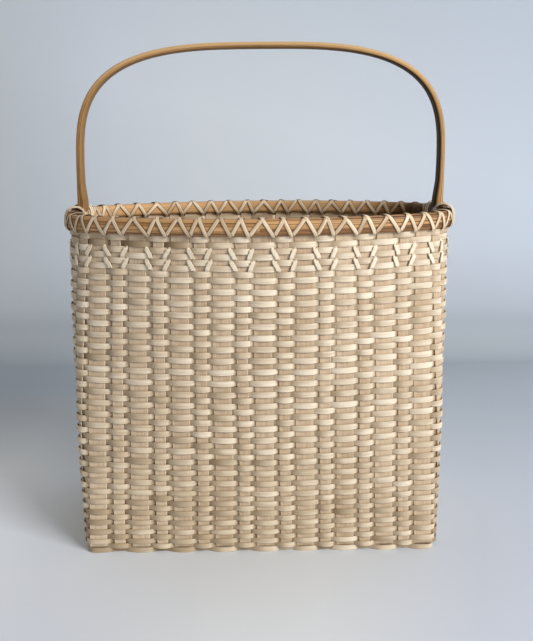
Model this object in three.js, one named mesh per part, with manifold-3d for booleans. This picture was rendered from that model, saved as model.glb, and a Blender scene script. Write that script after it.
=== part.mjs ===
// A chairside basket of wood splint with a fixed bow handle.
// Units are millimetres. X runs along the length, Y from front to back, Z up; the origin is under the middle
// of the base.
// Flat stakes cross under the base and turn up to make the walls. Weavers ring the stakes outside, two or
// three rows to a piece. Two hoops clamp the stake tops and the notched handle between them, and splints lash
// the hoops in two crossing runs.
import * as THREE from "three";
import { mergeVertices } from "three/addons/utils/BufferGeometryUtils.js";
import Module from "manifold-3d";

const wasm = await Module();
wasm.setup();

// Stakes: wide and narrow ones alternate, and a side begins and ends with the width that its neighbours
// lack. Those of the front and back have drifted to the right: not at all at the corners, most near the
// middle, and more in the left half than in the right one.
const STAKES_ALONG = 17;
const STAKES_ACROSS = 7;
const WIDE_STAKE = 17.5;
const NARROW_STAKE = 11;
const STAKE_GAP = 5.85;
const END_STAKE_GAP = 11;
const STAKE_DRIFT = 4.5;
const DRIFT_LEAN = 1 / 3;
const STAKE_THICKNESS = 1.4;

// Weavers: rows of one height in the upper part, and finer ones towards the base.
const WEAVER_THICKNESS = 0.8;
const ROW_HEIGHT = 5.65;
const FINEST_ROW_HEIGHT = 4.5;
const EVEN_PIECES = 17;
const FINE_PIECES = 8;
const ROWS_IN_EVEN_PIECE = 2;
const ROWS_IN_FINE_PIECE = 3;
const TWIST_COURSES = [2, 3];
const TWIST_STAND_OUT = 1.4;

// Plan of the wall's middle surface: a rectangle at the base, and an oval at the rim, whose front and back
// are shallow arcs with this swell, the angle from the middle to the corner arc. The middles of the front
// and back stand upright, and the ends flare out.
const END_MARGIN = 3.45;
const SIDE_MARGIN = 10.65;
const BASE_CORNER_RADIUS = 7;
const RIM_CORNER_RADIUS = 56;
const RIM_SWELL = THREE.MathUtils.degToRad(25);
const END_FLARE = 18.6;
const FLARE_POWER = 1.27;
const ROUNDING_POWER = 2.43;
const SWELL_POWER = 0.8;
const LEAST_SWELL = 1e-4;

// Rim hoops and the lashing.
const OUTER_RIM_HEIGHT = 16;
const OUTER_RIM_THICKNESS = 5;
const INNER_RIM_HEIGHT = 12.6;
const INNER_RIM_THICKNESS = 5;
const LASHING_THICKNESS = 0.6;
const LASHING_LAYER = 1;

// Handle: flat inside, rounded outside, thicker where it is notched, and tapered to a tail below the rim.
const HANDLE_RISE = 168;
const HANDLE_STRAIGHT_LEG = 44;
const HANDLE_WIDTH = 19;
const HANDLE_THICKNESS = 6.8;
const SHOULDER_THICKNESS = 10.4;
const SHOULDER_HEIGHT = 24;
const NOTCH_WOOD = 4;
const HOOK_HEIGHT = 4;
const TAIL_LENGTH = 95;
const TAIL_END_THICKNESS = 1.6;
const TAIL_END_WIDTH = 8;
const BOW_EXPONENT = 3.15;

// Clearances: the gap between pieces that touch, and the room beside and round the lashing.
const TOUCH_GAP = 0.3;
const LASHING_SIDE_ROOM = 0.6;
const LEG_ROOM = 2.6;
const LASHING_RIM_ROOM = 1.1;

// Sizes that follow.
const STAKE_PITCH = (WIDE_STAKE + NARROW_STAKE) / 2 + STAKE_GAP;
const END_STAKE_PITCH = (WIDE_STAKE + NARROW_STAKE) / 2 + END_STAKE_GAP;
const LAST_STAKE_ALONG = ((STAKES_ALONG - 1) / 2) * STAKE_PITCH;
const HALF_STAKE = STAKE_THICKNESS / 2;
const CLAMP_GAP = HALF_STAKE + TOUCH_GAP;
const LASHING_WAY = 2 * LASHING_LAYER + LASHING_THICKNESS;
const LOWER_LAYER = HALF_STAKE;
const UPPER_LAYER = 3 * HALF_STAKE + TOUCH_GAP;
const STAKE_BEND_RADIUS = END_MARGIN - 2 * TOUCH_GAP;

// The weaver pieces from the rim down: their first row, their rows and their height.
const weaverPieces = [];
for (let k = 1, row = 1; k <= EVEN_PIECES + FINE_PIECES; k++) {
  const rows = k > EVEN_PIECES ? ROWS_IN_FINE_PIECE : ROWS_IN_EVEN_PIECE;
  const fine = Math.max(0, k - EVEN_PIECES) / FINE_PIECES;
  weaverPieces.push({ row, rows, height: rows * THREE.MathUtils.lerp(ROW_HEIGHT, FINEST_ROW_HEIGHT, fine) });
  row += rows;
}
const WALL_FOOT = TOUCH_GAP;
const RIM_BOTTOM = WALL_FOOT + weaverPieces.reduce((sum, piece) => sum + piece.height, 0) + LASHING_WAY;
const RIM_TOP = RIM_BOTTOM + OUTER_RIM_HEIGHT;
const STAKE_TOP = RIM_TOP - STAKE_THICKNESS;

// Half length, half depth, corner radius and swell of the base and of the rim, on the wall's middle
// surface.
const basePlan = {
  a: ((STAKES_ALONG - 1) * STAKE_PITCH + WIDE_STAKE) / 2 + END_MARGIN,
  b: ((STAKES_ACROSS - 1) * END_STAKE_PITCH + NARROW_STAKE) / 2 + SIDE_MARGIN,
  r: BASE_CORNER_RADIUS,
  swell: LEAST_SWELL,
};
const rimPlan = { a: basePlan.a + END_FLARE, b: basePlan.b, r: RIM_CORNER_RADIUS, swell: RIM_SWELL };

// The plan at height z: base and rim blended by powers of the height, so that the ends flare near the top.
// It stays the same over the height of the rim.
function planAt(z) {
  const height = THREE.MathUtils.clamp(z / RIM_BOTTOM, 0, 1);
  return {
    a: THREE.MathUtils.lerp(basePlan.a, rimPlan.a, height ** FLARE_POWER),
    b: THREE.MathUtils.lerp(basePlan.b, rimPlan.b, height ** FLARE_POWER),
    r: THREE.MathUtils.lerp(basePlan.r, rimPlan.r, height ** ROUNDING_POWER),
    swell: THREE.MathUtils.lerp(basePlan.swell, rimPlan.swell, height ** SWELL_POWER),
  };
}

// A quarter of a plan is a shallow arc, a corner arc and half of a straight end, each touching the next.
// The arcs' centres are on one line with the point where they meet, which gives the shallow arc's radius
// and the end's length.
function shallowRadius(plan) {
  return plan.r + (plan.a - plan.r) / Math.sin(plan.swell);
}

function halfEnd(plan) {
  return plan.b - plan.r - (plan.a - plan.r) * Math.tan(plan.swell / 2);
}

// A quarter of a plan's perimeter, from the middle of the front to the middle of an end.
function quarterOf(plan) {
  return shallowRadius(plan) * plan.swell + plan.r * (Math.PI / 2 - plan.swell) + halfEnd(plan);
}

// A place round the basket is a turn, counted in quarters of the base: 0 is the front's middle, 1 the right
// end's, 2 the back's, 3 the left end's. The stakes of the front and back keep their distances all the way
// up, so the rest of a quarter, from their last stake to the middle of the end, is what shrinks or grows
// with the plan.
const quarter = quarterOf(basePlan);

function shareLeft(plan) {
  return (quarterOf(plan) - LAST_STAKE_ALONG) / (quarter - LAST_STAKE_ALONG);
}

// Where a turn is on a plan, as a length from the nearest middle of the front or back, and that middle.
function alongPlan(plan, turn) {
  const middle = Math.round(turn / 2) * 2;
  const atBase = Math.abs(turn - middle) * quarter;
  const along = Math.min(atBase, LAST_STAKE_ALONG) + Math.max(0, atBase - LAST_STAKE_ALONG) * shareLeft(plan);
  return { middle, along: Math.sign(turn - middle) * along };
}

// The lashing fills the gap between the end stakes at the rim, with room on both sides.
const RIM_PITCH = END_STAKE_PITCH * shareLeft(rimPlan);
const LASHING_WIDTH = RIM_PITCH - (WIDE_STAKE + NARROW_STAKE) / 2 - 2 * LASHING_SIDE_ROOM;

// The point and outward normal at arc length s along one quarter, from the middle of the front.
function pointOnQuarter(plan, s) {
  const radius = shallowRadius(plan);
  const shallow = radius * plan.swell;
  const corner = plan.r * (Math.PI / 2 - plan.swell);
  if (s < shallow) {
    const [nx, ny] = [Math.sin(s / radius), -Math.cos(s / radius)];
    return { x: radius * nx, y: radius - plan.b + radius * ny, nx, ny };
  }
  if (s < shallow + corner) {
    const angle = plan.swell + (s - shallow) / plan.r;
    const [nx, ny] = [Math.sin(angle), -Math.cos(angle)];
    return { x: plan.a - plan.r + plan.r * nx, y: -halfEnd(plan) + plan.r * ny, nx, ny };
  }
  return { x: plan.a, y: -halfEnd(plan) + (s - shallow - corner), nx: 1, ny: 0 };
}

// How far outside a plan a point is, negative inside: measured from the centre of the arc that faces it.
function outsidePlan(plan, x, y) {
  const [px, py] = [Math.abs(x), Math.abs(y)];
  const radius = shallowRadius(plan);
  const deep = py + radius - plan.b;
  if (Math.atan2(px, deep) < plan.swell) return Math.hypot(px, deep) - radius;
  if (py > halfEnd(plan)) return Math.hypot(px - plan.a + plan.r, py - halfEnd(plan)) - plan.r;
  return px - plan.a;
}

// The same at a turn, and at a sideways distance from it.
function pointOnPlan(plan, turn, sideways = 0) {
  const { middle, along } = alongPlan(plan, turn);
  const whole = (((middle + (along + sideways) / quarterOf(plan)) % 4) + 4) % 4;
  const half = Math.floor(whole / 2);
  const inHalf = whole - 2 * half;
  const mirrored = inHalf > 1;
  const p = pointOnQuarter(plan, quarterOf(plan) * (mirrored ? 2 - inHalf : inHalf));
  const flip = mirrored ? -1 : 1;
  const spin = half === 1 ? -1 : 1;
  return { x: spin * p.x, y: spin * flip * p.y, nx: spin * p.nx, ny: spin * flip * p.ny };
}

// A point of a plan at a turn, moved out by offset, at height z, and moved sideways.
function place(plan, turn, offset, z, sideways = 0) {
  const p = pointOnPlan(plan, turn, sideways);
  return new THREE.Vector3(p.x + offset * p.nx, p.y + offset * p.ny, z);
}

// A closed mesh through rings of equally many points: joined end to start, or capped at both ends.
function loft(rings, closed) {
  const count = rings[0].length;
  const index = [];
  const spans = closed ? rings.length : rings.length - 1;
  for (let i = 0; i < spans; i++) {
    const here = i * count;
    const next = ((i + 1) % rings.length) * count;
    for (let j = 0; j < count; j++) {
      const k = (j + 1) % count;
      index.push(here + j, here + k, next + k, here + j, next + k, next + j);
    }
  }
  const last = (rings.length - 1) * count;
  for (let j = 1; !closed && j < count - 1; j++) {
    index.push(0, j + 1, j, last, last + j, last + j + 1);
  }
  const points = rings.flat();
  let volume = 0;
  for (let i = 0; i < index.length; i += 3) {
    const [a, b, c] = index.slice(i, i + 3).map((n) => points[n]);
    volume += a.dot(b.clone().cross(c));
  }
  if (volume < 0) index.reverse();
  return new THREE.BufferGeometry().setFromPoints(points).setIndex(index);
}

// A geometry as a solid for cutting, and back.
function solidOf(geometry) {
  const bare = geometry.clone();
  bare.deleteAttribute("normal");
  bare.deleteAttribute("uv");
  const merged = mergeVertices(bare, 1e-4);
  return new wasm.Manifold(
    new wasm.Mesh({
      numProp: 3,
      vertProperties: new Float32Array(merged.attributes.position.array),
      triVerts: new Uint32Array(merged.index.array),
    }),
  );
}

function geometryOf(solid) {
  const mesh = solid.getMesh();
  return new THREE.BufferGeometry()
    .setAttribute("position", new THREE.BufferAttribute(mesh.vertProperties, 3))
    .setIndex(new THREE.BufferAttribute(mesh.triVerts, 1));
}

const splint = new THREE.MeshStandardMaterial({ color: 0xcdb48c, roughness: 0.7, metalness: 0 });
const weaverSplint = new THREE.MeshStandardMaterial({ color: 0xe2cfaa, roughness: 0.65, metalness: 0 });
const bentWood = new THREE.MeshStandardMaterial({ color: 0xb98a57, roughness: 0.55, metalness: 0 });
const lashingSplint = new THREE.MeshStandardMaterial({ color: 0xdccaa8, roughness: 0.6, metalness: 0 });

const basket = new THREE.Group();
basket.name = "chairside_basket";

function addPiece(name, geometry, material) {
  const mesh = new THREE.Mesh(geometry, material);
  mesh.name = name;
  basket.add(mesh);
}

// How many straight steps the shallow arc and the corner arc of a quarter need, so that no corner of a
// polygon round them stands further out than this.
const MOST_FACET = 0.6;

function arcSteps(plan, most) {
  const steps = (angle, radius) => Math.max(1, Math.ceil(angle / 2 / Math.acos(1 / (1 + most / radius))));
  return [steps(plan.swell, shallowRadius(plan)), steps(Math.PI / 2 - plan.swell, plan.r)];
}

// Corners of a polygon round a plan, each with its outward direction. A polygon that touches the arcs from
// outside stays clear of what it rings, and one with its corners on the arcs stays inside what holds it.
// Steps tells how many straight steps the shallow arc and the corner arc have.
function polygonRound(plan, steps, outside) {
  const { a, b, r: corner, swell } = plan;
  const shallow = shallowRadius(plan);
  const arcs = [
    { x: 0, y: b - shallow, r: shallow, from: 0, angle: swell, count: steps[0] },
    { x: a - corner, y: halfEnd(plan), r: corner, from: swell, angle: Math.PI / 2 - swell, count: steps[1] },
  ];
  const quadrant = arcs.flatMap(({ x, y, r, from, angle, count }, n) => {
    const stretch = outside ? 1 / Math.cos(angle / 2 / count) : 1;
    const ends = outside || n === 0 ? 0 : 1;
    return Array.from({ length: count + ends }, (_, i) => {
      const turned = from + (angle * (outside ? i + 0.5 : i)) / count;
      return { cx: x, cy: y, dx: Math.sin(turned) * stretch, dy: Math.cos(turned) * stretch, r };
    });
  });
  // The polygon goes round from the middle of the back, and a quadrant is turned over for the ones beside
  // it.
  const middle = !outside;
  return [[1, 1], [1, -1], [-1, -1], [-1, 1]].flatMap(([sx, sy]) => {
    const flipped = sx !== sy;
    const list = flipped ? [...quadrant].reverse() : quadrant;
    const kept = middle ? (flipped ? list.slice(0, -1) : list) : list;
    return kept.map((c) => ({ cx: sx * c.cx, cy: sy * c.cy, dx: sx * c.dx, dy: sy * c.dy, r: c.r }));
  });
}

function polygonPoint(corner, offset, z) {
  const reach = corner.r + offset;
  return new THREE.Vector3(corner.cx + reach * corner.dx, corner.cy + reach * corner.dy, z);
}

// Stakes. Each is one strip: down one wall, under the base and up the other wall. Its straight steps up the
// wall are shorter towards the base, where the plan changes faster.
const WALL_STEPS_NEAR_CORNERS = 7;
const WALL_STEPS_IN_THE_MIDDLE = 4;
const WALL_STEP_POWER = 1.7;
const BEND_STEPS = 3;

// The four corners of a stake's section at height z, its two edges half a width either side of turn.
function stakeSection(turn, width, z) {
  const plan = planAt(z);
  const before = place(plan, turn, 0, z, -width / 2);
  const after = place(plan, turn, 0, z, width / 2);
  const out = new THREE.Vector3(after.y - before.y, before.x - after.x, 0).setLength(HALF_STAKE);
  return [before.clone().add(out), after.clone().add(out), after.clone().sub(out), before.clone().sub(out)];
}

// A stake whose base part runs along the direction run, at sideways distance from the middle line.
function stakeGeometry({ run, distance, width, layer, turnHere, turnThere, wallSteps }) {
  const across = new THREE.Vector3(-run.y, run.x, 0);
  const up = new THREE.Vector3(0, 0, 1);
  const bendEnd = layer + STAKE_BEND_RADIUS;
  const reach = place(planAt(bendEnd), turnHere, 0, 0).dot(run);
  const wallHeights = [STAKE_TOP];
  for (let i = 0; i <= wallSteps; i++) {
    wallHeights.push(THREE.MathUtils.lerp(bendEnd, RIM_BOTTOM, (1 - i / wallSteps) ** WALL_STEP_POWER));
  }
  const bend = (side) => {
    const rings = [];
    for (let i = 1; i <= BEND_STEPS; i++) {
      const angle = (Math.PI / 2) * (i / BEND_STEPS);
      const middle = run
        .clone()
        .multiplyScalar(side * (reach - STAKE_BEND_RADIUS * (1 - Math.cos(angle))))
        .addScaledVector(across, distance)
        .setZ(bendEnd - STAKE_BEND_RADIUS * Math.sin(angle));
      const out = run.clone().multiplyScalar(side * Math.cos(angle)).addScaledVector(up, -Math.sin(angle));
      const edge = across.clone().multiplyScalar(width / 2);
      rings.push([[1, -1], [1, 1], [-1, 1], [-1, -1]].map(([outward, sideways]) =>
        middle.clone().addScaledVector(out, outward * HALF_STAKE).addScaledVector(edge, sideways)));
    }
    return rings;
  };
  // Each end's section is turned so that its first edge is always the one on the same side of the base.
  const wall = (turn, flipped) => wallHeights.map((z) => {
    const [a, b, c, d] = stakeSection(turn, width, z);
    return flipped ? [b, a, d, c] : [a, b, c, d];
  });
  const here = wall(turnHere, false);
  const there = wall(turnThere, true);
  return loft([...here, ...bend(1), ...bend(-1).reverse(), ...there.reverse()], false);
}

// Distances of a side's stakes from its middle, to the right and to the back.
const distancesAlong = Array.from({ length: STAKES_ALONG }, (_, i) => {
  const distance = (i - (STAKES_ALONG - 1) / 2) * STAKE_PITCH;
  const share = distance / LAST_STAKE_ALONG;
  return distance + STAKE_DRIFT * (1 - share ** 2) * (1 - DRIFT_LEAN * share);
});
const distancesAcross = Array.from({ length: STAKES_ACROSS }, (_, i) =>
  (i - (STAKES_ACROSS - 1) / 2) * END_STAKE_PITCH);

distancesAlong.forEach((distance, i) => {
  const nearCorner = Math.abs(distance) > 3.5 * STAKE_PITCH;
  addPiece(`front_to_back_stake_${String(i + 1).padStart(2, "0")}`, stakeGeometry({
    run: new THREE.Vector3(0, -1, 0),
    distance,
    width: i % 2 ? NARROW_STAKE : WIDE_STAKE,
    layer: UPPER_LAYER,
    turnHere: distance / quarter,
    turnThere: 2 - distance / quarter,
    wallSteps: nearCorner ? WALL_STEPS_NEAR_CORNERS : WALL_STEPS_IN_THE_MIDDLE,
  }), splint);
});

distancesAcross.forEach((distance, i) => {
  addPiece(`end_to_end_stake_${String(i + 1).padStart(2, "0")}`, stakeGeometry({
    run: new THREE.Vector3(1, 0, 0),
    distance,
    width: i % 2 ? WIDE_STAKE : NARROW_STAKE,
    layer: LOWER_LAYER,
    turnHere: 1 + distance / quarter,
    turnThere: 3 - distance / quarter,
    wallSteps: WALL_STEPS_NEAR_CORNERS,
  }), splint);
});

// The middle of every gap between stakes, and of every stake, as turns round the basket.
function turnsRound() {
  const stakes = [];
  for (const [middleTurn, distances, firstWidth] of [
    [0, distancesAlong, WIDE_STAKE],
    [1, distancesAcross, NARROW_STAKE],
    [2, distancesAlong.map((distance) => -distance).reverse(), WIDE_STAKE],
    [3, distancesAcross, NARROW_STAKE],
  ]) {
    distances.forEach((distance, i) => {
      const turn = middleTurn + distance / quarter;
      const width = i % 2 ? WIDE_STAKE + NARROW_STAKE - firstWidth : firstWidth;
      const onEnd = distances.length === STAKES_ACROSS;
      stakes.push({ turn, width, onEnd, onHandle: onEnd && i === (STAKES_ACROSS - 1) / 2 });
    });
  }
  return stakes.map((stake, i) => {
    const next = stakes[(i + 1) % stakes.length];
    const nextTurn = next.turn + (next.turn < stake.turn ? 4 : 0);
    const turnsPerLength = 1 / quarter / (stake.onEnd || next.onEnd ? shareLeft(rimPlan) : 1);
    const gap = (stake.turn + nextTurn) / 2 + ((stake.width - next.width) / 4) * turnsPerLength;
    return { stake: stake.turn, gap, onHandle: stake.onHandle };
  });
}

const stations = turnsRound();

// Weaver pieces, from the rim down. Each rings the stakes outside, and its two edges follow the wall's
// flare.
let pieceTop = RIM_BOTTOM - LASHING_WAY;
weaverPieces.forEach(({ row, rows, height }, i) => {
  const number = i + 1;
  const top = pieceTop - TOUCH_GAP / 2;
  const bottom = pieceTop - height + TOUCH_GAP / 2;
  pieceTop -= height;
  const inner = CLAMP_GAP;
  const outer = CLAMP_GAP + WEAVER_THICKNESS;
  if (TWIST_COURSES.includes(number)) {
    // A course with a twist strand stands out further between the stakes, where the strand comes through.
    const corners = stations.flatMap(({ stake, gap }) => [[stake, 0], [gap, TWIST_STAND_OUT]]);
    const rings = corners.map(([turn, out]) => [
      place(planAt(top), turn, inner, top),
      place(planAt(top), turn, outer + out, top),
      place(planAt(bottom), turn, outer + out, bottom),
      place(planAt(bottom), turn, inner, bottom),
    ]);
    const level = number === TWIST_COURSES[0] ? "upper" : "lower";
    addPiece(`twist_course_${level}`, loft(rings, true), weaverSplint);
    return;
  }
  const steps = arcSteps(planAt(top), MOST_FACET);
  const above = polygonRound(planAt(top), steps, true);
  const below = polygonRound(planAt(bottom), steps, true);
  const rings = above.map((corner, n) => [
    polygonPoint(corner, inner, top),
    polygonPoint(corner, outer, top),
    polygonPoint(below[n], outer, bottom),
    polygonPoint(below[n], inner, bottom),
  ]);
  const [from, to] = [row, row + rows - 1].map((n) => String(n).padStart(2, "0"));
  addPiece(`weavers_${from}_${to}`, loft(rings, true), weaverSplint);
});

// Rim hoops: flat against the wall, with softened edges on the side that shows.
const RIM_STEPS = [7, 8];
const FLAT_EDGE = 0.6;
const SLOPED_EDGE = 0.22;

function rimSection(thickness, height) {
  return [
    [0, 0],
    [thickness * FLAT_EDGE, 0],
    [thickness, height * SLOPED_EDGE],
    [thickness, height * (1 - SLOPED_EDGE)],
    [thickness * FLAT_EDGE, height],
    [0, height],
  ];
}

const outerRimRings = polygonRound(rimPlan, RIM_STEPS, true).map((corner) =>
  rimSection(OUTER_RIM_THICKNESS, OUTER_RIM_HEIGHT).map(([out, up]) =>
    polygonPoint(corner, CLAMP_GAP + out, RIM_BOTTOM + up)));
addPiece("outer_rim", loft(outerRimRings, true), bentWood);

// The inner hoop lies on the stakes along the front and back, and in the handle's notches at the ends.
const legOutside = rimPlan.a - CLAMP_GAP - LEG_ROOM;
const innerRimPlan = {
  a: legOutside - NOTCH_WOOD - TOUCH_GAP,
  b: rimPlan.b - CLAMP_GAP,
  r: rimPlan.r - CLAMP_GAP - TOUCH_GAP,
};
// Its shallow arcs keep the centre of the wall's.
const innerShallowRadius = shallowRadius(rimPlan) - CLAMP_GAP;
innerRimPlan.swell = Math.asin((innerRimPlan.a - innerRimPlan.r) / (innerShallowRadius - innerRimPlan.r));
const INNER_RIM_BOTTOM = RIM_TOP - INNER_RIM_HEIGHT;
const innerRimRings = polygonRound(innerRimPlan, RIM_STEPS, false).map((corner) =>
  rimSection(INNER_RIM_THICKNESS, INNER_RIM_HEIGHT).map(([inward, up]) =>
    polygonPoint(corner, -inward, INNER_RIM_BOTTOM + up)));
addPiece("inner_rim", loft(innerRimRings, true), bentWood);

// Lashing. Each run passes through every gap under the rims, climbs the outer hoop to the next stake's
// middle, crosses the top and goes down the inner hoop to the next gap. The second run goes the other way,
// a layer further out. Each run is made of a few lengths of splint. It folds along the hoops' edges, so
// each layer keeps one distance from the wood. The shares say how far round it is at each fold: 0 at one
// gap, 1 at the top, 2 at the next gap. Beside the handle it crosses the top clear of the leg, and there
// this wrap and the next one go straight across.
const FOLD_SHARES = [0, 0.2, 0.6, 0.8, 1.2, 1.4, 1.8, 2];
const FOLD_SHARES_AT_HANDLE = [0, 0.3, 0.75, 1, 1, 1.25, 1.7, 2];
const LASHING_STUB = 3.5;
const LENGTHS_IN_A_RUN = 3;
const MOST_WIDENING = 1.25;

// A fold over a corner of a section, at distance from it: the point and the direction through the strip's
// thickness.
function foldOver(before, corner, after, distance) {
  const first = new THREE.Vector2(corner[1] - before[1], before[0] - corner[0]).normalize();
  const second = new THREE.Vector2(after[1] - corner[1], corner[0] - after[0]).normalize();
  const through = first.clone().add(second).divideScalar(1 + first.dot(second));
  return { out: corner[0] + through.x * distance, up: corner[1] + through.y * distance, through };
}

// How far inside the wall's middle surface the inner hoop's outer face is, straight inwards from a turn of
// the rim.
function inwardToInnerRim(turn) {
  const p = pointOnPlan(rimPlan, turn);
  let depth = 0;
  for (let i = 0; i < 12; i++) depth += outsidePlan(innerRimPlan, p.x - depth * p.nx, p.y - depth * p.ny);
  return depth;
}

// Where a run crosses the top at a station.
function topTurn(station, direction) {
  if (!station.onHandle) return station.stake;
  const clear = (HANDLE_WIDTH + LASHING_WIDTH) / 2 + 3 * LASHING_SIDE_ROOM;
  return station.stake + (direction * clear) / quarter / shareLeft(rimPlan);
}

function lashingPath(direction, layer, firstWrap, endWrap) {
  const count = stations.length;
  const distance = LASHING_RIM_ROOM + layer * LASHING_LAYER;
  const outerFolds = rimSection(OUTER_RIM_THICKNESS, OUTER_RIM_HEIGHT);
  const innerFolds = rimSection(INNER_RIM_THICKNESS, OUTER_RIM_HEIGHT);
  const foldsOf = (side, corners, section) =>
    corners.map((n) => ({ side, ...foldOver(...section.slice(n - 1, n + 2), distance) }));
  const folds = [...foldsOf(1, [1, 2, 3, 4], outerFolds), ...foldsOf(-1, [4, 3, 2, 1], innerFolds)];
  const path = [];
  const addFold = (turn, { side, out, up, through }) => {
    const { nx, ny } = pointOnPlan(rimPlan, turn);
    const reach = side > 0 ? CLAMP_GAP + out : -inwardToInnerRim(turn) - out;
    path.push({
      point: place(rimPlan, turn, reach, RIM_BOTTOM + up),
      through: new THREE.Vector3(side * nx * through.x, side * ny * through.x, through.y),
      level: new THREE.Vector3(-ny, nx, 0),
    });
  };
  for (let n = firstWrap; n < endWrap; n++) {
    const m = direction > 0 ? n : count - 1 - n;
    const station = stations[m];
    const gapBefore = stations[(m + count - 1) % count].gap;
    const before = gapBefore > station.gap ? gapBefore - 4 : gapBefore;
    const [first, last] = direction > 0 ? [before, station.gap] : [station.gap, before];
    const top = topTurn(station, direction);
    const onPast = stations[(m - direction + count) % count].onHandle;
    const shares = station.onHandle || onPast ? FOLD_SHARES_AT_HANDLE : FOLD_SHARES;
    folds.forEach((fold, i) => {
      const onWay = shares[i] < 1 ? [first, top, shares[i]] : [top, last, shares[i] - 1];
      addFold(THREE.MathUtils.lerp(...onWay), fold);
    });
  }
  // A length begins outside and ends inside, so that where one ends and the next begins in a gap they stay
  // apart.
  const stub = (end, side) => {
    const inward = new THREE.Vector3(-end.level.y, end.level.x, 0).multiplyScalar(side * LASHING_STUB);
    return { ...end, point: end.point.clone().add(inward), through: new THREE.Vector3(0, 0, -1) };
  };
  return [stub(path[0], 1), ...path, stub(path[path.length - 1], -1)];
}

// The strip's section at each fold lies along the fold, widened where the run crosses it at a slant.
function lashingGeometry(path) {
  const rings = path.map(({ point, through, level }, i) => {
    const [before, after] = [Math.max(0, i - 1), Math.min(path.length - 1, i + 1)];
    const along = path[after].point.clone().sub(path[before].point).normalize();
    const atGap = i < 2 || i % 8 === 0 || i % 8 === 1 || i > path.length - 3;
    const widening = atGap ? 1 : Math.min(MOST_WIDENING, 1 / Math.sqrt(1 - along.dot(level) ** 2));
    return [[1, 1], [-1, 1], [-1, -1], [1, -1]].map(([s, u]) =>
      point.clone()
        .addScaledVector(level, (s * widening * LASHING_WIDTH) / 2)
        .addScaledVector(through, (u * LASHING_THICKNESS) / 2));
  });
  return loft(rings, false);
}

// The least gap between two parts of one run that are at least most of a wrap apart, from points along its
// middle.
function leastGap(path) {
  const samples = path.slice(1).flatMap(({ point }, i) =>
    [0, 0.25, 0.5, 0.75].map((share) => path[i].point.clone().lerp(point, share)));
  const apart = 4 * (FOLD_SHARES.length - 2);
  let least = Infinity;
  for (let i = 0; i < samples.length; i++) {
    for (let j = i + apart; j < samples.length; j++) {
      least = Math.min(least, samples[i].distanceTo(samples[j]) - LASHING_WIDTH);
    }
  }
  return least;
}

for (const [run, direction, layer] of [["rightward", 1, 0], ["leftward", -1, 1]]) {
  for (let k = 0; k < LENGTHS_IN_A_RUN; k++) {
    const [from, to] = [k, k + 1].map((n) => Math.round((n * stations.length) / LENGTHS_IN_A_RUN));
    const path = lashingPath(direction, layer, from, to);
    const name = `rim_lashing_${run}_${k + 1}`;
    console.log(`${name}: ${to - from} wraps, least gap to itself ${leastGap(path).toFixed(2)} mm`);
    addPiece(name, lashingGeometry(path), lashingSplint);
  }
}

// Handle. Its stations run from the right tail up the leg and over the bow; the left half mirrors them.
const HANDLE_SECTION = [
  [-1, 0.44], [-1, -0.44], [-0.62, -0.5], [-0.28, -0.4], [0, -0.16], [0, 0.16], [-0.28, 0.4], [-0.62, 0.5],
];
const BOW_STEPS = 14;
const bowFoot = RIM_TOP + HANDLE_STRAIGHT_LEG;
const bowRise = HANDLE_RISE - HANDLE_STRAIGHT_LEG;
const hookThickness = NOTCH_WOOD + INNER_RIM_THICKNESS * 0.9 + TOUCH_GAP;
const tailWidth = NARROW_STAKE;

// A leg's outer side keeps one line above the rim, and lies along the wall below it.
function legLine(z) {
  return Math.min(legOutside, planAt(z).a - CLAMP_GAP - TOUCH_GAP);
}

function handleStations() {
  const leg = [
    [RIM_BOTTOM - TAIL_LENGTH, TAIL_END_THICKNESS, TAIL_END_WIDTH],
    [RIM_BOTTOM - TAIL_LENGTH * 0.66, hookThickness * 0.4, tailWidth],
    [RIM_BOTTOM - TAIL_LENGTH * 0.33, hookThickness * 0.62, tailWidth],
    [RIM_BOTTOM - HOOK_HEIGHT, hookThickness, tailWidth],
    [RIM_BOTTOM - TOUCH_GAP, hookThickness, tailWidth],
    [RIM_BOTTOM + OUTER_RIM_HEIGHT * 0.4, SHOULDER_THICKNESS, HANDLE_WIDTH],
    [RIM_TOP + SHOULDER_HEIGHT * 0.2, SHOULDER_THICKNESS, HANDLE_WIDTH],
    [RIM_TOP + SHOULDER_HEIGHT, HANDLE_THICKNESS, HANDLE_WIDTH],
    [bowFoot, HANDLE_THICKNESS, HANDLE_WIDTH],
  ].map(([z, thickness, width]) => ({ x: legLine(z), z, nx: 1, nz: 0, thickness, width }));
  const bow = [];
  for (let i = 1; i <= BOW_STEPS; i++) {
    const angle = (Math.PI / 2) * (i / BOW_STEPS);
    const across = Math.cos(angle) ** (2 / BOW_EXPONENT);
    const up = Math.sin(angle) ** (2 / BOW_EXPONENT);
    const steepness = BOW_EXPONENT - 1;
    const normal = new THREE.Vector2(across ** steepness / legOutside, up ** steepness / bowRise).normalize();
    bow.push({
      x: i === BOW_STEPS ? 0 : legOutside * across,
      z: bowFoot + bowRise * up,
      nx: i === BOW_STEPS ? 0 : normal.x,
      nz: i === BOW_STEPS ? 1 : normal.y,
      thickness: HANDLE_THICKNESS,
      width: HANDLE_WIDTH,
    });
  }
  const right = [...leg, ...bow];
  const left = right.slice(0, -1).reverse().map((s) => ({ ...s, x: -s.x, nx: -s.nx }));
  return [...right, ...left];
}

const handleRings = handleStations().map((s) => HANDLE_SECTION.map(([inward, across]) =>
  new THREE.Vector3(
    s.x + s.nx * inward * s.thickness,
    across * s.width,
    s.z + s.nz * inward * s.thickness,
  )));

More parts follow.
